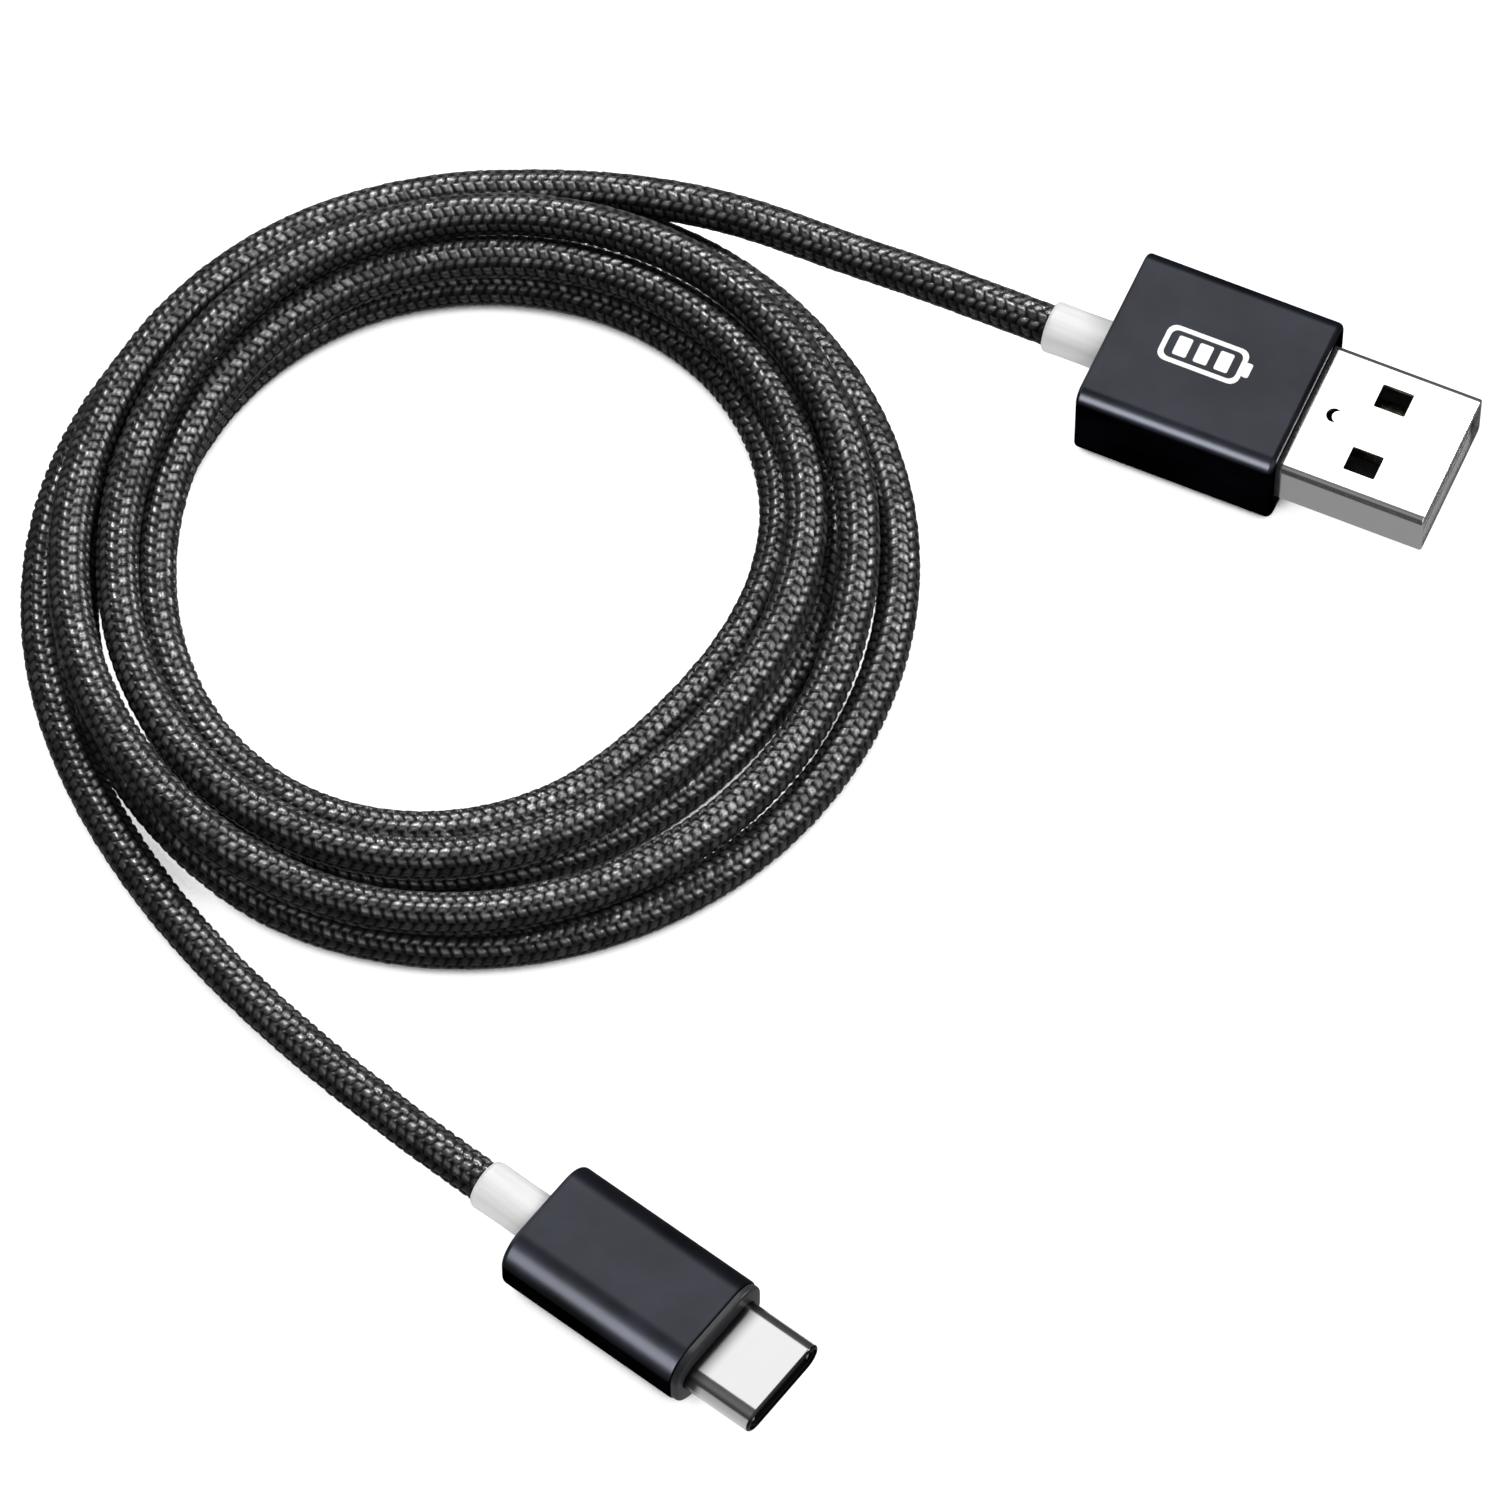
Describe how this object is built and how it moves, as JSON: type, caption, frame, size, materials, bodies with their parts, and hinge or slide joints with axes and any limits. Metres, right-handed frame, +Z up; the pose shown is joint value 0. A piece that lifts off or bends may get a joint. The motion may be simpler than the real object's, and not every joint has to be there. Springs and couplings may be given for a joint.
{
  "type": "usb charging cable",
  "caption": "Coiled braided charging cable with a full-size plug on one lead and a small reversible plug on the other, both leads jointed",
  "frame": {"origin": "under the middle of the laid-out cable's bounding box, on the plane it rests on", "axes": "+Z up, square to the resting plane; +X to the right with both plugs pointing towards it; +Y away from the viewer"},
  "size_m": [0.1096, 0.1064, 0.0086],
  "materials": {
    "black_braid": "woven nylon braid",
    "grey_pvc": "smooth",
    "gunmetal": "satin anodised",
    "white_rubber": "matt, slightly translucent",
    "plated_steel": "bright nickel plate",
    "black_plastic": "moulded",
    "gold": "gold flash",
    "tinned_copper": "tin plate",
    "circuit_board": "solder mask",
    "resistor_black": "matt",
    "wire_red": "smooth",
    "wire_white": "smooth",
    "wire_green": "smooth",
    "wire_black": "smooth"
  },
  "bodies": {
    "coil": {"coil_core": "grey_pvc", "coil_sleeve": "black_braid"},
    "lead_a1": {"lead_a1_core": "grey_pvc", "lead_a1_sleeve": "black_braid"},
    "lead_a2": {"lead_a2_core": "grey_pvc", "lead_a2_sleeve": "black_braid"},
    "lead_a3": {"lead_a3_core": "grey_pvc", "lead_a3_sleeve": "black_braid"},
    "lead_c1": {"lead_c1_core": "grey_pvc", "lead_c1_sleeve": "black_braid"},
    "lead_c2": {"lead_c2_core": "grey_pvc", "lead_c2_sleeve": "black_braid"},
    "lead_c3": {"lead_c3_core": "grey_pvc", "lead_c3_sleeve": "black_braid"},
    "usb_a": {"usb_a_carrier": "black_plastic", "usb_a_collar": "black_plastic", "usb_a_contact_1": "gold", "usb_a_contact_2": "gold", "usb_a_contact_3": "gold", "usb_a_contact_4": "gold", "usb_a_ferrule": "tinned_copper", "usb_a_housing": "gunmetal", "usb_a_relief": "white_rubber", "usb_a_shell": "plated_steel", "usb_a_tail_core": "grey_pvc", "usb_a_tail_sleeve": "black_braid", "usb_a_wire_1": "wire_red", "usb_a_wire_2": "wire_white", "usb_a_wire_3": "wire_green", "usb_a_wire_4": "wire_black"},
    "usb_c": {"usb_c_board": "circuit_board", "usb_c_can": "tinned_copper", "usb_c_collar": "black_plastic", "usb_c_ferrule": "tinned_copper", "usb_c_housing": "gunmetal", "usb_c_insert": "black_plastic", "usb_c_relief": "white_rubber", "usb_c_resistor": "resistor_black", "usb_c_shell": "plated_steel", "usb_c_tail_core": "grey_pvc", "usb_c_tail_sleeve": "black_braid", "usb_c_wire_1": "wire_red", "usb_c_wire_2": "wire_white", "usb_c_wire_3": "wire_green", "usb_c_wire_4": "wire_black"},
    "contacts_lower": {"usb_c_contact_lower_1": "gold", "usb_c_contact_lower_2": "gold", "usb_c_contact_lower_3": "gold", "usb_c_contact_lower_4": "gold"},
    "contacts_upper": {"usb_c_contact_upper_1": "gold", "usb_c_contact_upper_2": "gold", "usb_c_contact_upper_3": "gold", "usb_c_contact_upper_4": "gold", "usb_c_contact_upper_5": "gold", "usb_c_contact_upper_6": "gold", "usb_c_contact_upper_7": "gold"},
    "latch_left": {"usb_c_latch_left": "plated_steel"},
    "latch_right": {"usb_c_latch_right": "plated_steel"}
  },
  "joints": [
    {"name": "lead_a_swing", "type": "hinge", "parent": "coil", "child": "lead_a1", "pos_m": [-0.00062, 0.04927, 0.00405], "axis": [0, 0, 1], "range_deg": [-5, 18]},
    {"name": "lead_a_lift", "type": "hinge", "parent": "lead_a1", "child": "lead_a2", "pos_m": [0.00696, 0.04673, 0.00316], "axis": [-0.3732, -0.9277, 0], "range_deg": [0, 20]},
    {"name": "lead_a_swing_end", "type": "hinge", "parent": "lead_a2", "child": "lead_a3", "pos_m": [0.01381, 0.04369, 0.00359], "axis": [0, 0, 1], "range_deg": [-5, 18]},
    {"name": "usb_a_lift", "type": "hinge", "parent": "lead_a3", "child": "usb_a", "pos_m": [0.02042, 0.04058, 0.00391], "axis": [-0.4156, -0.9096, 0], "range_deg": [0, 20]},
    {"name": "lead_c_swing", "type": "hinge", "parent": "coil", "child": "lead_c1", "pos_m": [-0.04335, -0.00907, 0.00162], "axis": [0, 0, 1], "range_deg": [-18, 6]},
    {"name": "lead_c_lift", "type": "hinge", "parent": "lead_c1", "child": "lead_c2", "pos_m": [-0.03707, -0.01685, 0.00203], "axis": [-0.744, -0.6682, 0], "range_deg": [0, 20]},
    {"name": "lead_c_swing_end", "type": "hinge", "parent": "lead_c2", "child": "lead_c3", "pos_m": [-0.02934, -0.02467, 0.0027], "axis": [0, 0, 1], "range_deg": [-18, 6]},
    {"name": "usb_c_lift", "type": "hinge", "parent": "lead_c3", "child": "usb_c", "pos_m": [-0.02138, -0.03152, 0.00308], "axis": [-0.6263, -0.7795, 0], "range_deg": [0, 20]},
    {"name": "contacts_upper_flex", "type": "hinge", "parent": "usb_c", "child": "contacts_upper", "pos_m": [-0.00522, -0.04413, 0.00351], "axis": [-0.6143, -0.7891, 0], "range_deg": [0, 0.8]},
    {"name": "contacts_lower_flex", "type": "hinge", "parent": "usb_c", "child": "contacts_lower", "pos_m": [-0.00522, -0.04413, 0.00269], "axis": [0.6143, 0.7891, 0], "range_deg": [0, 0.8]},
    {"name": "latch_left_flex", "type": "hinge", "parent": "usb_c", "child": "latch_left", "pos_m": [-0.00406, -0.04102, 0.0031], "axis": [0, 0, 1], "range_deg": [0, 1.2]},
    {"name": "latch_right_flex", "type": "hinge", "parent": "usb_c", "child": "latch_right", "pos_m": [-0.00795, -0.04601, 0.0031], "axis": [0, 0, -1], "range_deg": [0, 1.2]}
  ],
  "couplings": [
    {"joint": "lead_a_swing_end", "follows": "lead_a_swing", "ratio": 1},
    {"joint": "usb_a_lift", "follows": "lead_a_lift", "ratio": 1},
    {"joint": "lead_c_swing_end", "follows": "lead_c_swing", "ratio": 1},
    {"joint": "usb_c_lift", "follows": "lead_c_lift", "ratio": 1},
    {"joint": "contacts_lower_flex", "follows": "contacts_upper_flex", "ratio": 1},
    {"joint": "latch_right_flex", "follows": "latch_left_flex", "ratio": 1}
  ]
}
